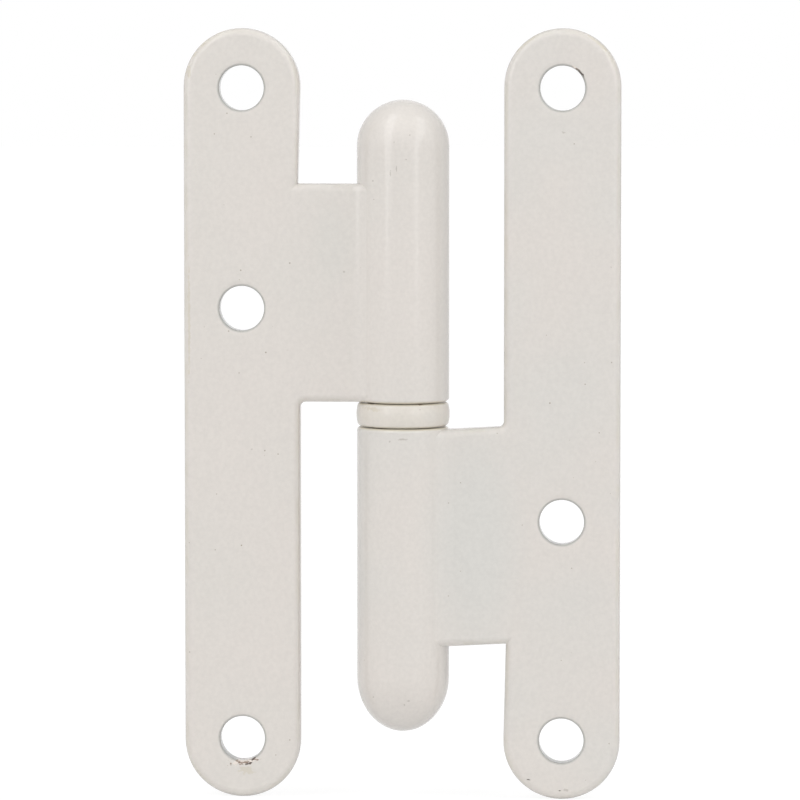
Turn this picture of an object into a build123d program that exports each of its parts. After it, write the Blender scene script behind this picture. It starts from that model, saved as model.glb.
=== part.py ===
from build123d import *
import math
import os

# Lift-off door hinge: two leaves with domed knuckles, a fixed pin and a loose ring between the knuckles.
# The origin is on the pin's axis, half way up the ring. +Z runs up the pin, +X towards the lower leaf,
# and -Y towards the wood that the leaves are screwed to. Millimetres throughout.

# Leaves
LEAF_HEIGHT = 100.0
LEAF_WIDTH = 15.1
LEAF_REACH = 28.3  # from the pin's axis to a leaf's outer edge
LEAF_THICKNESS = 2.5
CLOSED_GAP = 1.6  # between the leaves when they are folded shut
NECK_HEIGHT = 28.3  # the neck joins a leaf to its knuckle
LOWER_NECK_SLANT = 3.1  # degrees by which the lower leaf's neck was punched askew
NOTCH_BITE = 0.3  # how much the short leg narrows towards the neck
NOTCH_CORNER = 0.7  # inside corner beside the ring
ROLLED_EDGE = 1.0  # rounded edges of the wood side
CRISP_EDGE = 0.3  # edges of the other side

# Screw holes
HOLE_DIAMETER = 5.8
HOLE_RIM = 0.3
PUNCH_ROLL_WIDTH = 0.7  # band around a hole that the punch drew in
PUNCH_ROLL_DEPTH = 0.12
PUNCH_ROLL_SAG = 0.3  # share of that depth reached half way across the band
END_HOLE_MARGIN = 7.7  # from a leaf's end to the centre of its end hole
MIDDLE_HOLE_HEIGHT = 13.8  # from the middle of the ring to the third hole

# Knuckles
KNUCKLE_DIAMETER = 12.0
KNUCKLE_RIM = 0.5  # rounded edge of the end that meets the ring
UPPER_KNUCKLE_LENGTH = 39.1
UPPER_DOME_LENGTH = 6.0
LOWER_KNUCKLE_LENGTH = 39.9
LOWER_DOME_LENGTH = 7.2
WOOD_SIDE_HOLLOW = 4.0  # radius of the hollow between a leaf and its knuckle
OTHER_SIDE_HOLLOW = 1.5
HOLLOW_SINK = 0.05  # depth to which a hollow runs in under the knuckle's round side

# Pin
PIN_DIAMETER = 7.0
PIN_SEAT = 27.0  # length held in the lower knuckle
PIN_REACH = 29.0  # length that stands above the ring
PIN_NOSE = 1.0  # chamfer of the free end
PIN_HEEL = 0.4  # chamfer of the driven end

# Ring
RING_THICKNESS = 3.3
RING_BULGE = 0.25  # how far the ring's side swells between its edges
RING_RIM = 0.5  # rounded edges of the ring's side
RING_PROUD = 0.08  # how far its widest line stands out past the knuckles' round side
LAND_WIDTH = 0.9  # band around the ring's bore on which a knuckle bears
LAND_HEIGHT = 0.12  # its height, which leaves the dark seam outside it

# Bores
BORE_MOUTH = 0.4  # chamfer at the mouth
DRILL_POINT_ANGLE = 118.0
RUNNING_CLEARANCE = 0.05  # between the upper knuckle and the pin, on the radius
RING_CLEARANCE = 0.08  # between the ring and the pin, on the radius
DRIVE_CLEARANCE = 0.01  # between the lower knuckle and the pin, on the radius
PIN_HEADROOM = 2.0  # above the pin, so that the ring carries the load

# Places that follow from the sizes
OTHER_FACE = -CLOSED_GAP / 2
WOOD_FACE = OTHER_FACE - LEAF_THICKNESS
OUTER_EDGE = -LEAF_REACH
INNER_EDGE = OUTER_EDGE + LEAF_WIDTH
CENTRE_LINE = OUTER_EDGE + LEAF_WIDTH / 2
END_RADIUS = LEAF_WIDTH / 2
END_CENTRE = LEAF_HEIGHT / 2 - END_RADIUS
SEAT = RING_THICKNESS / 2
NECK_TOP = SEAT + NECK_HEIGHT
KNUCKLE_RADIUS = KNUCKLE_DIAMETER / 2
NECK_MIDDLE = (INNER_EDGE - KNUCKLE_RADIUS) / 2
PIN_RADIUS = PIN_DIAMETER / 2
QUARTER_HANDLE = 4 / 3 * (math.sqrt(2) - 1)  # handle that bends a curve into a quarter ellipse


def hollow(face, radius, side):
    """Start, middle and end of the arc from a leaf's face to the knuckle.

    Side is the way along Y that the face looks. The arc's centre lies a radius off the face,
    and the arc ends just under the knuckle's round side.
    """
    end_distance = KNUCKLE_RADIUS - HOLLOW_SINK
    centre_distance = end_distance + radius
    centre_y = face + side * radius
    centre = Vector(-math.sqrt(centre_distance**2 - centre_y**2), centre_y)
    start = Vector(centre.X, face)
    end = centre * (end_distance / centre_distance)
    middle = centre + ((start - centre) + (end - centre)).normalized() * radius
    return start, middle, end


def leaf_bar():
    """The leaf's section, from its outer edge through both hollows to the pin's axis, drawn out as a bar."""
    wood_start, wood_middle, wood_end = hollow(WOOD_FACE, WOOD_SIDE_HOLLOW, -1)
    other_start, other_middle, other_end = hollow(OTHER_FACE, OTHER_SIDE_HOLLOW, 1)
    section = make_face(
        [
            Line((OUTER_EDGE, WOOD_FACE), wood_start),
            ThreePointArc(wood_start, wood_middle, wood_end),
            Line(wood_end, (0, 0)),
            Line((0, 0), other_end),
            ThreePointArc(other_end, other_middle, other_start),
            Line(other_start, (OUTER_EDGE, OTHER_FACE)),
            Line((OUTER_EDGE, OTHER_FACE), (OUTER_EDGE, WOOD_FACE)),
        ]
    )
    return extrude(section, LEAF_HEIGHT / 2, both=True)


def leaf_outline(neck_slant):
    """The leaf seen from the wood side: two round ends, and a neck that runs in to the pin's axis.

    The neck's edges are turned about its middle by the slant, in degrees.
    """
    slope = math.tan(math.radians(neck_slant))

    def neck_point(x, height):
        return Vector(x, height + slope * (x - NECK_MIDDLE))

    centre = Vector(CENTRE_LINE, END_CENTRE)
    notch = neck_point(INNER_EDGE - NOTCH_BITE, NECK_TOP)
    to_notch = notch - centre
    turn = math.atan2(to_notch.Y, to_notch.X) + math.acos(END_RADIUS / to_notch.length)
    tangent = centre + Vector(math.cos(turn), math.sin(turn)) * END_RADIUS
    neck_corner = neck_point(INNER_EDGE, SEAT)
    long_leg = (INNER_EDGE, -END_CENTRE)
    outline = make_face(
        [
            ThreePointArc(tangent, (CENTRE_LINE, LEAF_HEIGHT / 2), (OUTER_EDGE, END_CENTRE)),
            Line((OUTER_EDGE, END_CENTRE), (OUTER_EDGE, -END_CENTRE)),
            ThreePointArc((OUTER_EDGE, -END_CENTRE), (CENTRE_LINE, -LEAF_HEIGHT / 2), long_leg),
            Line(long_leg, neck_corner),
            Line(neck_corner, neck_point(0, SEAT)),
            Line(neck_point(0, SEAT), neck_point(0, NECK_TOP)),
            Line(neck_point(0, NECK_TOP), notch),
            Line(notch, tangent),
        ]
    )
    return fillet(outline.vertices().sort_by_distance(neck_corner)[0], NOTCH_CORNER)


def broad_face(plate, side):
    """The plate's flat face on its wood side (0) or its other side (-1)."""
    return plate.faces().filter_by(Plane.XZ).sort_by(Axis.Y)[side]


def outline_edges(plate, side):
    """The edges around a broad face, without the smooth line where its hollow starts."""
    edges = broad_face(plate, side).outer_wire().edges()
    return edges - edges.filter_by(Axis.Z).sort_by(Axis.X)[-1:]


def screw_holes():
    """Three holes on the leaf's centre line: one by each end, and one beside the neck.

    The punch drew the wood side in around each hole, in an arc from the face down to the hole's wall.
    """
    radius = HOLE_DIAMETER / 2
    rolled = radius + PUNCH_ROLL_WIDTH
    rolled_middle = (radius + PUNCH_ROLL_WIDTH / 2, -PUNCH_ROLL_DEPTH * PUNCH_ROLL_SAG)
    profile = make_face(
        [
            Polyline((rolled, 0), (rolled, LEAF_THICKNESS), (0, LEAF_THICKNESS), (0, -2 * LEAF_THICKNESS)),
            Polyline((0, -2 * LEAF_THICKNESS), (radius, -2 * LEAF_THICKNESS), (radius, -PUNCH_ROLL_DEPTH)),
            ThreePointArc((radius, -PUNCH_ROLL_DEPTH), rolled_middle, (rolled, 0)),
        ]
    )
    punch = Rot(90, 0, 0) * revolve(Plane.XZ * profile, Axis.Z)
    end_hole = LEAF_HEIGHT / 2 - END_HOLE_MARGIN
    heights = (end_hole, MIDDLE_HOLE_HEIGHT, -end_hole)
    return [Pos(CENTRE_LINE, WOOD_FACE, height) * punch for height in heights]


def hole_rims(plate):
    """The round edges at both ends of the holes' walls."""
    circles = plate.edges().filter_by(GeomType.CIRCLE)
    return circles.filter_by(lambda edge: math.isclose(edge.radius, HOLE_DIAMETER / 2))


def leaf_plate(neck_slant=0.0):
    """The punched plate with its neck: edges rolled over on the wood side and crisp on the other."""
    outline = Plane.XZ * leaf_outline(neck_slant)
    plate = leaf_bar() & extrude(outline, KNUCKLE_DIAMETER, both=True)
    plate = fillet(outline_edges(plate, 0), ROLLED_EDGE)
    plate = fillet(outline_edges(plate, -1), CRISP_EDGE)
    plate -= screw_holes()
    return fillet(hole_rims(plate), HOLE_RIM)


def knuckle(length, dome_length):
    """A solid round knuckle that stands on the ring and ends in a dome, a quarter ellipse in profile."""
    tip_height = SEAT + length
    shoulder = tip_height - dome_length
    rise = (KNUCKLE_RADIUS, shoulder + QUARTER_HANDLE * dome_length)
    crown = (KNUCKLE_RADIUS * QUARTER_HANDLE, tip_height)
    profile = make_face(
        [
            Line((0, SEAT), (KNUCKLE_RADIUS, SEAT)),
            Line((KNUCKLE_RADIUS, SEAT), (KNUCKLE_RADIUS, shoulder)),
            Bezier((KNUCKLE_RADIUS, shoulder), rise, crown, (0, tip_height)),
            Line((0, tip_height), (0, SEAT)),
        ]
    )
    rim = profile.vertices().sort_by_distance((KNUCKLE_RADIUS, SEAT))[0]
    return revolve(Plane.XZ * fillet(rim, KNUCKLE_RIM), Axis.Z)


def blind_bore(radius, depth):
    """A hole drilled up from the ring: a chamfered mouth, a straight wall and the drill's point."""
    point = radius / math.tan(math.radians(DRILL_POINT_ANGLE / 2))
    profile = Polyline(
        (0, SEAT),
        (radius + BORE_MOUTH, SEAT),
        (radius, SEAT + BORE_MOUTH),
        (radius, SEAT + depth),
        (0, SEAT + depth + point),
        close=True,
    )
    return revolve(Plane.XZ * make_face(profile), Axis.Z)


def upper_leaf():
    """The leaf that lifts off: its bore runs on the pin."""
    bore = blind_bore(PIN_RADIUS + RUNNING_CLEARANCE, PIN_REACH + PIN_HEADROOM)
    return leaf_plate() + knuckle(UPPER_KNUCKLE_LENGTH, UPPER_DOME_LENGTH) - bore


def lower_leaf():
    """The leaf that stays on the frame: turned end for end, with the pin driven into its bore."""
    bore = blind_bore(PIN_RADIUS + DRIVE_CLEARANCE, PIN_SEAT)
    leaf = leaf_plate(LOWER_NECK_SLANT) + knuckle(LOWER_KNUCKLE_LENGTH, LOWER_DOME_LENGTH) - bore
    return Rot(0, 180, 0) * leaf


def hinge_pin():
    """A plain round pin, with a long chamfer on the end that finds the upper leaf's bore."""
    heel_height = -SEAT - PIN_SEAT
    nose_height = SEAT + PIN_REACH
    profile = Polyline(
        (0, heel_height),
        (PIN_RADIUS - PIN_HEEL, heel_height),
        (PIN_RADIUS, heel_height + PIN_HEEL),
        (PIN_RADIUS, nose_height - PIN_NOSE),
        (PIN_RADIUS - PIN_NOSE, nose_height),
        (0, nose_height),
        close=True,
    )
    return revolve(Plane.XZ * make_face(profile), Axis.Z)


def ring_washer():
    """A turned ring: a land around its bore on each face, and a side that swells in one arc between round edges."""
    bore = PIN_RADIUS + RING_CLEARANCE
    land = bore + LAND_WIDTH
    widest = KNUCKLE_RADIUS + RING_PROUD
    flat = widest - RING_BULGE
    shoulder = SEAT - LAND_HEIGHT
    profile = make_face(
        [
            Polyline((flat, shoulder), (land, shoulder), (land, SEAT), (bore, SEAT), (bore, -SEAT)),
            Polyline((bore, -SEAT), (land, -SEAT), (land, -shoulder), (flat, -shoulder)),
            ThreePointArc((flat, -shoulder), (widest, 0), (flat, shoulder)),
        ]
    )
    edges_of_side = profile.vertices().group_by(Axis.X)[-1]
    return revolve(Plane.XZ * fillet(edges_of_side, RING_RIM), Axis.Z)


os.makedirs("parts", exist_ok=True)
for make_piece in (upper_leaf, lower_leaf, hinge_pin, ring_washer):
    export_step(make_piece(), f"parts/{make_piece.__name__}.step")
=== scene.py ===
import math

import bpy
from mathutils import Matrix, Vector


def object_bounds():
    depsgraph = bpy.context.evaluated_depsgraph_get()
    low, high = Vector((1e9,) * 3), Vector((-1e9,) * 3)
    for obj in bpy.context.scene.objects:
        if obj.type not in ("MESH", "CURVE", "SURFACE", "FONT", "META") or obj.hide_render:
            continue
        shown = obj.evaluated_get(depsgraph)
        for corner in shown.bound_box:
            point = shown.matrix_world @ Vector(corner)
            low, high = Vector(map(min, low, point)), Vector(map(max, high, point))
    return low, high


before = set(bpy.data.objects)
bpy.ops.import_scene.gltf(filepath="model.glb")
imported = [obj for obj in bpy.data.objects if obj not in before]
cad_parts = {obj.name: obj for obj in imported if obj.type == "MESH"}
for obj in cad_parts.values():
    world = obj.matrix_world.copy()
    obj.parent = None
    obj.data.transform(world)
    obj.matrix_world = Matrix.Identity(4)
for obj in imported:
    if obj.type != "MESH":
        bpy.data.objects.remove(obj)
cad_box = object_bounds()


# Lower leaf: the leaf on the door frame, a punched steel plate with the knuckle that holds the pin.
# Plate and knuckle are sprayed together with cream enamel and baked, and the bore for the pin stays bare.
# Three screws through the plate hold it, and the pin and the ring stand on its knuckle.
MM = 1000.0  # millimetres in a metre: patterns and places on the hinge are in millimetres
SEAT = 1.65  # height of the knuckles' ends above and below the middle of the ring
KNUCKLE_REACH = 6.1  # just outside the round sides of the knuckles and the ring
NECK_START = 8.0  # from here outwards there is only plate, and its edges are the worn ones
ROLL_END = -2.2  # depth at which the plate's rolled edges have turned into its sheared wall
WORN_SIDE = -1.2  # marks lie on what is nearer to the wood than this
BORE_REACH = 3.75  # just outside the bores for the pin
BORE_END = 36.0  # the bores stop short of this height
HOLE_LINE = 20.75  # from the pin's axis to the line of a leaf's screw holes
END_HOLE = 42.3  # height of the end holes above and below the middle of the ring
MIDDLE_HOLE = 13.8  # height of the third hole, which is beside the neck
RIM_RADIUS = 3.1  # a screw hole and the rim round it, both greyed with painted shade


def linear(hex_colour):
    """An sRGB hex colour as the linear red, green, blue and alpha that a shader takes."""
    parts = [int(hex_colour[i : i + 2], 16) / 255 for i in (1, 3, 5)]
    return tuple(p / 12.92 if p <= 0.04045 else ((p + 0.055) / 1.055) ** 2.4 for p in parts) + (1.0,)


def add_node(tree, kind, settings, inputs):
    """Adds a node, sets its properties and fills its inputs with values or links. Returns its outputs."""
    node = tree.nodes.new(kind)
    for name, value in settings.items():
        setattr(node, name, value)
    for name, value in inputs.items():
        if isinstance(value, bpy.types.NodeSocket):
            tree.links.new(value, node.inputs[name])
        else:
            node.inputs[name].default_value = value
    return node.outputs


def new_material(name):
    """A material of that name and its empty node tree."""
    material = bpy.data.materials.new(name)
    material.use_nodes = True
    material.node_tree.nodes.clear()
    return material, material.node_tree


def marks_mask(tree, place, ragged, softness, marks):
    """How far a point lies inside any of the marks, from 0 to 1.

    Each mark is (x, z, half width, half height, turn in degrees): an ellipse in mm, seen along the Y axis.
    A point's distance in half widths gets the ragged noise added, and fades out around 1 over the softness.
    """
    any_depth = 1e6  # squeezes the Y axis away
    found = None
    for x, z, half_width, half_height, turn in marks:
        squeezed = add_node(
            tree,
            "ShaderNodeMapping",
            {"vector_type": "TEXTURE"},
            {
                "Vector": place,
                "Location": (x, 0, z),
                "Rotation": (0, math.radians(turn), 0),
                "Scale": (half_width, any_depth, half_height),
            },
        )["Vector"]
        reach = add_node(tree, "ShaderNodeVectorMath", {"operation": "LENGTH"}, {0: squeezed})["Value"]
        broken = add_node(tree, "ShaderNodeMath", {"operation": "ADD"}, {0: reach, 1: ragged})[0]
        inside = add_node(
            tree,
            "ShaderNodeMapRange",
            {"interpolation_type": "SMOOTHSTEP"},
            {"Value": broken, "From Min": 1.0 + softness, "From Max": 1.0 - softness},
        )["Result"]
        found = inside if found is None else add_node(
            tree, "ShaderNodeMath", {"operation": "MAXIMUM"}, {0: found, 1: inside}
        )[0]
    return found


# Baked gloss enamel, sprayed thin over steel. It gives the eye a soft shine with a fine orange peel,
# a faint grain with specks of baked-in dust, yellowed edges, rubs and stains, and rusty steel where it has
# chipped, with pale painted glints on the chips. Painted shade greys the outline and the screw holes and
# tints the seams.
def baked_enamel(name, warm, cool, cool_patches, holes, scuffs, stains, chips, pits):
    material, tree = new_material(name)
    coordinates = add_node(tree, "ShaderNodeTexCoord", {}, {})
    place = add_node(
        tree, "ShaderNodeVectorMath", {"operation": "SCALE"}, {0: coordinates["Object"], "Scale": MM}
    )["Vector"]
    axes = add_node(tree, "ShaderNodeSeparateXYZ", {}, {"Vector": place})
    facing = add_node(tree, "ShaderNodeSeparateXYZ", {}, {"Vector": coordinates["Normal"]})

    # The paint's tint drifts over wide patches, and is cooler where the coat is thin.
    patch_size = 14.0
    cloud = add_node(
        tree, "ShaderNodeTexNoise", {}, {"Vector": place, "Scale": 1 / patch_size, "Detail": 1.0}
    )["Fac"]
    cloud = add_node(
        tree,
        "ShaderNodeMapRange",
        {"interpolation_type": "SMOOTHERSTEP"},
        {"Value": cloud, "From Min": 0.2, "From Max": 0.8, "To Max": 0.6},
    )["Result"]
    thin = marks_mask(tree, place, ragged=0.0, softness=0.7, marks=cool_patches)
    tint = add_node(tree, "ShaderNodeMath", {"operation": "MAXIMUM"}, {0: cloud, 1: thin})[0]
    paint = add_node(
        tree, "ShaderNodeMix", {"data_type": "RGBA"}, {0: tint, 6: linear(warm), 7: linear(cool)}
    )[2]

    # A fine grain, a few hundredths lighter and darker.
    grain_size = 0.5
    grain = add_node(
        tree, "ShaderNodeTexNoise", {}, {"Vector": place, "Scale": 1 / grain_size, "Detail": 2.0}
    )["Fac"]
    shade = add_node(
        tree,
        "ShaderNodeMapRange",
        {},
        {"Value": grain, "From Min": 0.3, "From Max": 0.7, "To Min": 0.975, "To Max": 1.025},
    )["Result"]
    paint = add_node(
        tree, "ShaderNodeVectorMath", {"operation": "SCALE"}, {0: paint, "Scale": shade}
    )["Vector"]

    # Specks of dust under the coat, one to a cell, no two alike and many too faint to see.
    cell = 1.6
    largest_speck = 0.11  # its radius
    dust = add_node(tree, "ShaderNodeTexVoronoi", {}, {"Vector": place, "Scale": 1 / cell})
    chance = add_node(tree, "ShaderNodeSeparateColor", {}, {"Color": dust["Color"]})
    size = add_node(
        tree,
        "ShaderNodeMapRange",
        {},
        {"Value": chance["Red"], "From Min": 0.3, "From Max": 1.0, "To Max": largest_speck / cell},
    )["Result"]
    speck = add_node(tree, "ShaderNodeMath", {"operation": "LESS_THAN"}, {0: dust["Distance"], 1: size})[0]
    depth = add_node(tree, "ShaderNodeMath", {"operation": "POWER"}, {0: chance["Green"], 1: 5.0})[0]
    speck = add_node(tree, "ShaderNodeMath", {"operation": "MULTIPLY"}, {0: speck, 1: depth})[0]
    paint = add_node(
        tree, "ShaderNodeMix", {"data_type": "RGBA"}, {0: speck, 6: paint, 7: linear("#A29685")}
    )[2]

    # Yellowed and rubbed along the plate's rolled edges, in broken stretches.
    stretch_length = 4.0
    level = add_node(tree, "ShaderNodeMath", {"operation": "ABSOLUTE"}, {0: facing["Y"]})[0]
    edge = add_node(
        tree,
        "ShaderNodeMapRange",
        {"interpolation_type": "SMOOTHSTEP"},
        {"Value": level, "From Min": 0.99, "From Max": 0.8},
    )["Result"]
    outward = add_node(tree, "ShaderNodeMath", {"operation": "ABSOLUTE"}, {0: axes["X"]})[0]
    on_plate = add_node(
        tree, "ShaderNodeMath", {"operation": "GREATER_THAN"}, {0: outward, 1: NECK_START}
    )[0]
    edge = add_node(tree, "ShaderNodeMath", {"operation": "MULTIPLY"}, {0: edge, 1: on_plate})[0]
    stretch = add_node(
        tree, "ShaderNodeTexNoise", {}, {"Vector": place, "Scale": 1 / stretch_length, "Detail": 3.0}
    )["Fac"]
    stretch = add_node(
        tree,
        "ShaderNodeMapRange",
        {},
        {"Value": stretch, "From Min": 0.42, "From Max": 0.62, "To Max": 0.16},
    )["Result"]
    yellowed = add_node(tree, "ShaderNodeMath", {"operation": "MULTIPLY"}, {0: edge, 1: stretch})[0]
    paint = add_node(
        tree, "ShaderNodeMix", {"data_type": "RGBA"}, {0: yellowed, 6: paint, 7: linear("#C8BFA2")}
    )[2]

    # Grey along the line where the rolled edge turns into the plate's sheared wall: painted shade that
    # darkens the plate's outline.
    painted_outline_shade = add_node(
        tree,
        "ShaderNodeMapRange",
        {"interpolation_type": "SMOOTHSTEP"},
        {"Value": level, "From Min": 0.6, "From Max": 0.3, "To Max": 0.2},
    )["Result"]
    on_roll = add_node(tree, "ShaderNodeMath", {"operation": "LESS_THAN"}, {0: axes["Y"], 1: ROLL_END})[0]
    painted_outline_shade = add_node(tree, "ShaderNodeMath", {"operation": "MULTIPLY"}, {0: painted_outline_shade, 1: on_roll})[0]
    painted_outline_shade = add_node(tree, "ShaderNodeMath", {"operation": "MULTIPLY"}, {0: painted_outline_shade, 1: on_plate})[0]
    paint = add_node(
        tree, "ShaderNodeMix", {"data_type": "RGBA"}, {0: painted_outline_shade, 6: paint, 7: linear("#9A9896")}
    )[2]

    # Grey on the rims and walls of the screw holes: painted shade in the holes.
    if holes:
        painted_hole_shade = marks_mask(tree, place, ragged=0.0, softness=0.06, marks=holes)
        painted_hole_shade = add_node(tree, "ShaderNodeMath", {"operation": "MULTIPLY"}, {0: painted_hole_shade, 1: 0.85})[0]
        paint = add_node(
            tree, "ShaderNodeMix", {"data_type": "RGBA"}, {0: painted_hole_shade, 6: paint, 7: linear("#A6A6A3")}
        )[2]

    # Stains, rubs, chips and pits, all with broken edges, on the side that the wood and the screws wear. One
    # pit on the ring is painted shade at its seam.
    break_size = 0.4
    ragged = add_node(
        tree, "ShaderNodeTexNoise", {}, {"Vector": place, "Scale": 1 / break_size, "Detail": 3.0}
    )["Fac"]
    ragged = add_node(
        tree,
        "ShaderNodeMapRange",
        {},
        {"Value": ragged, "From Min": 0.3, "From Max": 0.7, "To Min": -0.7, "To Max": 0.7},
    )["Result"]
    worn_side = add_node(
        tree, "ShaderNodeMath", {"operation": "LESS_THAN"}, {0: axes["Y"], 1: WORN_SIDE}
    )[0]
    streak_length = 0.7
    streak_height = 0.22
    streaks = add_node(
        tree,
        "ShaderNodeMapping",
        {},
        {"Vector": place, "Scale": (1 / streak_length, 1 / streak_length, 1 / streak_height)},
    )["Vector"]
    # Chips are rusty brown with pale streaks, which are painted glints of bare steel.
    rust_and_painted_glint = add_node(tree, "ShaderNodeTexNoise", {}, {"Vector": streaks, "Scale": 1.0, "Detail": 2.0})["Fac"]
    rust_and_painted_glint = add_node(
        tree, "ShaderNodeMapRange", {}, {"Value": rust_and_painted_glint, "From Min": 0.38, "From Max": 0.52}
    )["Result"]
    rust_and_painted_glint = add_node(
        tree, "ShaderNodeMix", {"data_type": "RGBA"}, {0: rust_and_painted_glint, 6: linear("#86705F"), 7: linear("#E9E0D8")}
    )[2]
    for marks, colour, strength in (
        (stains, linear("#C2B690"), 0.24),
        (scuffs, linear("#978D81"), 0.36),
        (chips, rust_and_painted_glint, 1.0),
        (pits, linear("#43342A"), 0.8),
    ):
        marked = marks_mask(tree, place, ragged, softness=0.25, marks=marks)
        marked = add_node(tree, "ShaderNodeMath", {"operation": "MULTIPLY"}, {0: marked, 1: worn_side})[0]
        cover = add_node(tree, "ShaderNodeMath", {"operation": "MULTIPLY"}, {0: marked, 1: strength})[0]
        paint = add_node(tree, "ShaderNodeMix", {"data_type": "RGBA"}, {0: cover, 6: paint, 7: colour})[2]
    pitted = marked  # the pits come last, and they alone are rough and deep

    # A yellowish band beside the seams at the ring, a little darker than the paint: painted shade in the
    # seams' hollows.
    painted_seam_reach = 0.4
    radius = add_node(
        tree, "ShaderNodeVectorMath", {"operation": "MULTIPLY"}, {0: place, 1: (1, 1, 0)}
    )["Vector"]
    radius = add_node(tree, "ShaderNodeVectorMath", {"operation": "LENGTH"}, {0: radius})["Value"]
    height = add_node(tree, "ShaderNodeMath", {"operation": "ABSOLUTE"}, {0: axes["Z"]})[0]
    from_seam = add_node(tree, "ShaderNodeMath", {"operation": "SUBTRACT"}, {0: height, 1: SEAT})[0]
    from_seam = add_node(tree, "ShaderNodeMath", {"operation": "ABSOLUTE"}, {0: from_seam})[0]
    painted_seam_shade = add_node(
        tree,
        "ShaderNodeMapRange",
        {"interpolation_type": "SMOOTHSTEP"},
        {"Value": from_seam, "From Min": painted_seam_reach, "From Max": 0.0, "To Max": 0.4},
    )["Result"]
    at_knuckle = add_node(
        tree, "ShaderNodeMath", {"operation": "LESS_THAN"}, {0: radius, 1: KNUCKLE_REACH}
    )[0]
    painted_seam_shade = add_node(tree, "ShaderNodeMath", {"operation": "MULTIPLY"}, {0: painted_seam_shade, 1: at_knuckle})[0]
    paint = add_node(
        tree, "ShaderNodeMix", {"data_type": "RGBA"}, {0: painted_seam_shade, 6: paint, 7: linear("#D2C49A")}
    )[2]

    # Bare bored steel inside the knuckle.
    in_bore = add_node(tree, "ShaderNodeMath", {"operation": "LESS_THAN"}, {0: radius, 1: BORE_REACH})[0]
    below_end = add_node(tree, "ShaderNodeMath", {"operation": "LESS_THAN"}, {0: height, 1: BORE_END})[0]
    bare = add_node(tree, "ShaderNodeMath", {"operation": "MULTIPLY"}, {0: in_bore, 1: below_end})[0]
    paint = add_node(
        tree, "ShaderNodeMix", {"data_type": "RGBA"}, {0: bare, 6: paint, 7: linear("#8E8B86")}
    )[2]

    # Orange peel, longer and higher waves under it, and pits that go through the coat.
    peel_size = 0.9
    peel_height = 0.01
    wave_length = 5.0
    wave_height = 3.0  # in heights of the peel
    pit_depth = 6.0  # in heights of the peel
    peel = add_node(
        tree, "ShaderNodeTexNoise", {}, {"Vector": place, "Scale": 1 / peel_size, "Detail": 1.0}
    )["Fac"]
    waves = add_node(
        tree, "ShaderNodeTexNoise", {}, {"Vector": place, "Scale": 1 / wave_length, "Detail": 1.0}
    )["Fac"]
    waves = add_node(tree, "ShaderNodeMath", {"operation": "MULTIPLY"}, {0: waves, 1: wave_height})[0]
    relief = add_node(tree, "ShaderNodeMath", {"operation": "ADD"}, {0: peel, 1: waves})[0]
    sunk = add_node(tree, "ShaderNodeMath", {"operation": "MULTIPLY"}, {0: pitted, 1: -pit_depth})[0]
    relief = add_node(tree, "ShaderNodeMath", {"operation": "ADD"}, {0: relief, 1: sunk})[0]
    normal = add_node(
        tree, "ShaderNodeBump", {}, {"Height": relief, "Strength": 1.0, "Distance": peel_height / MM}
    )["Normal"]

    gloss = add_node(
        tree,
        "ShaderNodeMapRange",
        {},
        {"Value": grain, "From Min": 0.3, "From Max": 0.7, "To Min": 0.06, "To Max": 0.12},
    )["Result"]
    rough = add_node(tree, "ShaderNodeMath", {"operation": "MAXIMUM"}, {0: gloss, 1: pitted})[0]
    shader = add_node(
        tree,
        "ShaderNodeBsdfPrincipled",
        {},
        {"Base Color": paint, "Roughness": rough, "Metallic": bare, "IOR": 1.5, "Normal": normal},
    )["BSDF"]
    add_node(tree, "ShaderNodeOutputMaterial", {}, {"Surface": shader})
    return material


# The marks are as marks_mask takes them: x, z, half width, half height and turn.
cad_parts["lower_leaf"].material_slots[0].material = baked_enamel(
    "lower_leaf_baked_enamel",
    warm="#DFD9D3",
    cool="#DAD8D3",
    cool_patches=[(9.5, -16.0, 5.5, 14.0, 0)],
    holes=[(HOLE_LINE, z, RIM_RADIUS, RIM_RADIUS, 0) for z in (END_HOLE, -MIDDLE_HOLE, -END_HOLE)],
    scuffs=[
        (20.85, 36.65, 0.3, 0.12, 20),
        (26.3, 48.2, 0.3, 0.15, 40),
        (27.2, 46.7, 0.25, 0.25, 0),
        (0.3, -2.9, 0.5, 0.12, 0),
        (-1.4, -3.2, 0.12, 0.12, 0),
        (-3.6, -36.6, 0.1, 0.1, 0),
        (1.0, -36.9, 0.16, 0.12, 0),
        (0.5, -37.5, 0.12, 0.12, 0),
        (21.4, -48.7, 0.3, 0.15, 0),
    ],
    stains=[(25.4, 48.0, 1.8, 0.18, 40), (16.2, 48.2, 1.6, 0.15, -40)],
    chips=[(22.5, 44.85, 0.7, 0.12, 38)],
    pits=[(23.05, 44.3, 0.6, 0.12, 50), (16.5, -47.4, 0.2, 0.07, 10), (20.6, -48.8, 0.12, 0.07, 0)],
)


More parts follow.
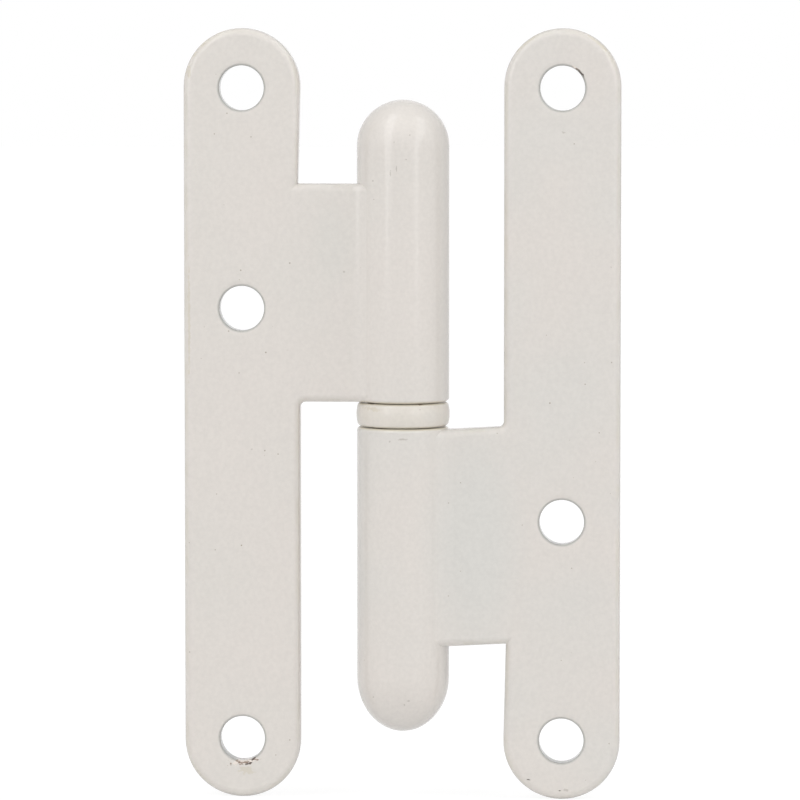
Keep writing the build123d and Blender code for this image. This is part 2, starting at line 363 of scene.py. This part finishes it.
# Hinge pin: a length of bright drawn steel bar, driven into the lower knuckle, that stands above the ring.
# It is bare and lightly oiled, and the upper leaf's bore has rubbed faint rings round it.
# Drawn steel shines along its length in fine lines, with a duller band wherever the bore runs.
LINE_WIDTH = 0.25
LINE_STRETCH = 25.0  # how many times as long as wide a drawn line is
LINE_DEPTH = 0.01
BAND_HEIGHT = 6.0
BAND_STRETCH = 20.0  # how many times as long as high a rubbed band is
pin_steel, tree = new_material("hinge_pin_drawn_steel")
place = add_node(tree, "ShaderNodeTexCoord", {}, {})["Object"]
along = add_node(
    tree, "ShaderNodeMapping", {}, {"Vector": place, "Scale": (MM, MM, MM / LINE_STRETCH)}
)["Vector"]
lines = add_node(
    tree, "ShaderNodeTexNoise", {}, {"Vector": along, "Scale": 1 / LINE_WIDTH, "Detail": 3.0}
)["Fac"]
around = add_node(
    tree,
    "ShaderNodeMapping",
    {},
    {"Vector": place, "Scale": (MM / BAND_STRETCH, MM / BAND_STRETCH, MM)},
)["Vector"]
bands = add_node(
    tree, "ShaderNodeTexNoise", {}, {"Vector": around, "Scale": 1 / BAND_HEIGHT, "Detail": 1.0}
)["Fac"]
steel = add_node(
    tree, "ShaderNodeMix", {"data_type": "RGBA"}, {0: bands, 6: linear("#C0BEBA"), 7: linear("#A9A6A1")}
)[2]
rough = add_node(tree, "ShaderNodeMapRange", {}, {"Value": lines, "To Min": 0.2, "To Max": 0.42})["Result"]
normal = add_node(
    tree, "ShaderNodeBump", {}, {"Height": lines, "Strength": 0.5, "Distance": LINE_DEPTH / MM}
)["Normal"]
shader = add_node(
    tree,
    "ShaderNodeBsdfPrincipled",
    {},
    {"Base Color": steel, "Roughness": rough, "Metallic": 1.0, "Normal": normal},
)["BSDF"]
add_node(tree, "ShaderNodeOutputMaterial", {}, {"Surface": shader})
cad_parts["hinge_pin"].material_slots[0].material = pin_steel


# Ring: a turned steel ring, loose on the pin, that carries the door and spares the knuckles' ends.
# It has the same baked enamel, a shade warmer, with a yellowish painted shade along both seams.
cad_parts["ring_washer"].material_slots[0].material = baked_enamel(
    "ring_baked_enamel",
    warm="#E0D9CF",
    cool="#DED9D1",
    cool_patches=[(4.0, 0.0, 1.5, 1.0, 0)],
    holes=[],
    scuffs=[(2.5, 0.9, 0.12, 0.08, 0)],
    stains=[(-3.6, 0.9, 1.2, 0.2, 5)],
    chips=[(2.5, 1.5, 0.4, 0.05, 0)],
    # The pit at the ring's top left is painted shade, where the seam's gap above it is wider.
    pits=[(-3.9, 1.55, 0.5, 0.06, 0)],
)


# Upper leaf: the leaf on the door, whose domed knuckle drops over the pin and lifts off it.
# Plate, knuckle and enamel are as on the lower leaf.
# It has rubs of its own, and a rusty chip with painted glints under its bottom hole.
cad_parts["upper_leaf"].material_slots[0].material = baked_enamel(
    "upper_leaf_baked_enamel",
    warm="#DFD9D3",
    cool="#DCD8D2",
    cool_patches=[(-9.0, 22.0, 3.0, 6.0, 0)],
    holes=[(-HOLE_LINE, z, RIM_RADIUS, RIM_RADIUS, 0) for z in (END_HOLE, MIDDLE_HOLE, -END_HOLE)],
    scuffs=[
        (-0.5, 32.0, 0.08, 0.3, 0),
        (-1.3, 31.3, 0.1, 0.4, 0),
        (1.2, 36.3, 0.07, 0.12, 0),
        (-0.8, 35.4, 0.07, 0.12, 0),
        (0.7, 33.2, 0.12, 0.1, 0),
        (-3.6, 30.4, 0.1, 0.1, 0),
        (-7.4, 18.6, 0.15, 0.12, 0),
        (-19.5, -4.5, 0.15, 0.12, 0),
        (-27.3, 46.8, 0.2, 0.2, 0),
    ],
    stains=[
        (-26.9, 46.6, 0.5, 0.25, -60),
        (-25.5, 48.3, 1.6, 0.18, -45),
        (-23.3, 49.6, 1.4, 0.15, -20),
        (-27.6, 44.3, 0.3, 0.6, 0),
        (-27.6, 12.0, 0.15, 7.0, 0),
        (-20.1, -46.5, 0.9, 0.5, 0),
    ],
    chips=[(-20.5, -45.3, 1.45, 0.42, -8)],
    pits=[(-20.0, -45.6, 0.6, 0.11, -17), (-19.35, -45.0, 0.3, 0.09, -40)],
)


# Studio: white paper under the hinge and white all round, lit softly from the front, the sides and above.
# Two long soft lamps lean over the hinge from the front to above and behind, left and right.
FLOOR_REACH = 3.0  # metres
floor_height = cad_box[0].z
floor_mesh = bpy.data.meshes.new("paper_floor")
floor_mesh.from_pydata(
    [
        (-FLOOR_REACH, -FLOOR_REACH, floor_height),
        (FLOOR_REACH, -FLOOR_REACH, floor_height),
        (FLOOR_REACH, FLOOR_REACH, floor_height),
        (-FLOOR_REACH, FLOOR_REACH, floor_height),
    ],
    [],
    [(0, 1, 2, 3)],
)
floor = bpy.data.objects.new("paper_floor", floor_mesh)
bpy.context.scene.collection.objects.link(floor)


def seen_share(tree):
    """1 where the camera sees a thing, straight or by way of another, and 0 where it only gives light."""
    path = add_node(tree, "ShaderNodeLightPath", {}, {})
    seen = add_node(
        tree, "ShaderNodeMath", {"operation": "MAXIMUM"}, {0: path["Is Camera Ray"], 1: path["Is Glossy Ray"]}
    )[0]
    return add_node(
        tree, "ShaderNodeMath", {"operation": "MAXIMUM"}, {0: seen, 1: path["Is Transmission Ray"]}
    )[0]


# Matt white paper: to the eye nearly all its white is its own, so its shadows stay faint.
WHITE = linear("#FFFFFF")
paper, tree = new_material("matt_white_paper")
own_white = add_node(tree, "ShaderNodeEmission", {}, {"Color": WHITE, "Strength": 0.88})["Emission"]
lit_white = add_node(tree, "ShaderNodeBsdfDiffuse", {}, {"Color": linear("#7C7C7C")})["BSDF"]
shown = add_node(tree, "ShaderNodeAddShader", {}, {0: own_white, 1: lit_white})["Shader"]
bounce = add_node(tree, "ShaderNodeBsdfDiffuse", {}, {"Color": linear("#E1E1E1")})["BSDF"]
surface = add_node(tree, "ShaderNodeMixShader", {}, {0: seen_share(tree), 1: bounce, 2: shown})["Shader"]
add_node(tree, "ShaderNodeOutputMaterial", {}, {"Surface": surface})
floor_mesh.materials.append(paper)

# Soft light: a bright patch in front, another behind, and a bright band round the sides and above.
# Directions run from -1 to 1 along each axis, and the band is a little brighter on the right.
FRONT_LIGHT = 2.67
BACK_LIGHT = 3.1
PATCH_EDGE = 0.75
BAND_LIGHT = 2.0
BAND_FORWARD = 0.13  # how far in front of the hinge the band's middle lies
BAND_REACH = 0.38
world = bpy.data.worlds.new("white_studio")
bpy.context.scene.world = world
world.use_nodes = True
tree = world.node_tree
tree.nodes.clear()
direction = add_node(tree, "ShaderNodeTexCoord", {}, {})["Generated"]
direction = add_node(tree, "ShaderNodeSeparateXYZ", {}, {"Vector": direction})
front = add_node(
    tree,
    "ShaderNodeMapRange",
    {"interpolation_type": "SMOOTHSTEP"},
    {"Value": direction["Y"], "From Min": -PATCH_EDGE, "From Max": -1.0, "To Max": FRONT_LIGHT},
)["Result"]
behind = add_node(
    tree,
    "ShaderNodeMapRange",
    {"interpolation_type": "SMOOTHSTEP"},
    {"Value": direction["Y"], "From Min": PATCH_EDGE, "From Max": 1.0, "To Max": BACK_LIGHT},
)["Result"]
aside = add_node(tree, "ShaderNodeMath", {"operation": "ADD"}, {0: direction["Y"], 1: BAND_FORWARD})[0]
aside = add_node(tree, "ShaderNodeMath", {"operation": "ABSOLUTE"}, {0: aside})[0]
band = add_node(
    tree,
    "ShaderNodeMapRange",
    {"interpolation_type": "SMOOTHSTEP"},
    {"Value": aside, "From Min": BAND_REACH, "From Max": 0.0, "To Max": BAND_LIGHT},
)["Result"]
to_right = add_node(
    tree,
    "ShaderNodeMapRange",
    {},
    {"Value": direction["X"], "From Min": -1.0, "To Min": 0.85, "To Max": 1.25},
)["Result"]
band = add_node(tree, "ShaderNodeMath", {"operation": "MULTIPLY"}, {0: band, 1: to_right})[0]
strength = add_node(tree, "ShaderNodeMath", {"operation": "ADD"}, {0: front, 1: band})[0]
strength = add_node(tree, "ShaderNodeMath", {"operation": "ADD"}, {0: strength, 1: behind})[0]
soft = add_node(tree, "ShaderNodeBackground", {}, {"Color": WHITE, "Strength": strength})["Background"]
white = add_node(tree, "ShaderNodeBackground", {}, {"Color": WHITE, "Strength": 1.0})["Background"]
sky = add_node(tree, "ShaderNodeMixShader", {}, {0: seen_share(tree), 1: soft, 2: white})["Shader"]
add_node(tree, "ShaderNodeOutputWorld", {}, {"Surface": sky})

# Each lamp is a strip from its low end to its high end, in metres, that faces the hinge.
for side, low_end, high_end, width, radiance in (
    ("left", Vector((-0.53, -0.83, -0.015)), Vector((-0.24, -0.02, 0.98)), 0.28, 1.6),
    ("right", Vector((0.54, -0.845, -0.015)), Vector((0.55, 0.10, 0.95)), 0.26, 1.2),
):
    lamp = bpy.data.lights.new(f"soft_lamp_{side}", "AREA")
    lamp.shape = "RECTANGLE"
    lamp.size = width
    lamp.size_y = (high_end - low_end).length
    lamp.energy = radiance * math.pi * lamp.size * lamp.size_y
    holder = bpy.data.objects.new(lamp.name, lamp)
    bpy.context.scene.collection.objects.link(holder)
    middle = (low_end + high_end) / 2
    long_way = (high_end - low_end).normalized()
    away = (middle - middle.dot(long_way) * long_way).normalized()
    turn = Matrix((long_way.cross(away), long_way, away)).transposed()
    holder.matrix_world = Matrix.Translation(middle) @ turn.to_4x4()

# Camera: a long lens, a little above the hinge's middle and almost straight in front.
CAMERA_DISTANCE = 0.7  # metres
CAMERA_TURN = math.radians(3.5)
CAMERA_RISE = math.radians(4.3)
PIXELS_PER_MM = 7.69
IMAGE_WIDTH = 800
ORIGIN_PIXEL = (403.1, 413.4)  # where the middle of the ring stands in the picture
camera_data = bpy.data.cameras.new("camera")
camera_data.sensor_width = 36.0
camera_data.lens = PIXELS_PER_MM * MM * CAMERA_DISTANCE * camera_data.sensor_width / IMAGE_WIDTH
camera_data.clip_start = 0.01
camera_data.clip_end = 20.0
camera = bpy.data.objects.new("camera", camera_data)
bpy.context.scene.collection.objects.link(camera)
back = Vector(
    (
        math.sin(CAMERA_TURN) * math.cos(CAMERA_RISE),
        -math.cos(CAMERA_TURN) * math.cos(CAMERA_RISE),
        math.sin(CAMERA_RISE),
    )
)
turn = back.to_track_quat("Z", "Y")
right = turn @ Vector((1, 0, 0))
up = turn @ Vector((0, 1, 0))
aim = right * (IMAGE_WIDTH / 2 - ORIGIN_PIXEL[0]) + up * (ORIGIN_PIXEL[1] - IMAGE_WIDTH / 2)
aim = aim / PIXELS_PER_MM / MM
camera.matrix_world = Matrix.Translation(aim + back * CAMERA_DISTANCE) @ turn.to_matrix().to_4x4()
bpy.context.scene.camera = camera
bpy.context.scene.view_settings.view_transform = "Standard"
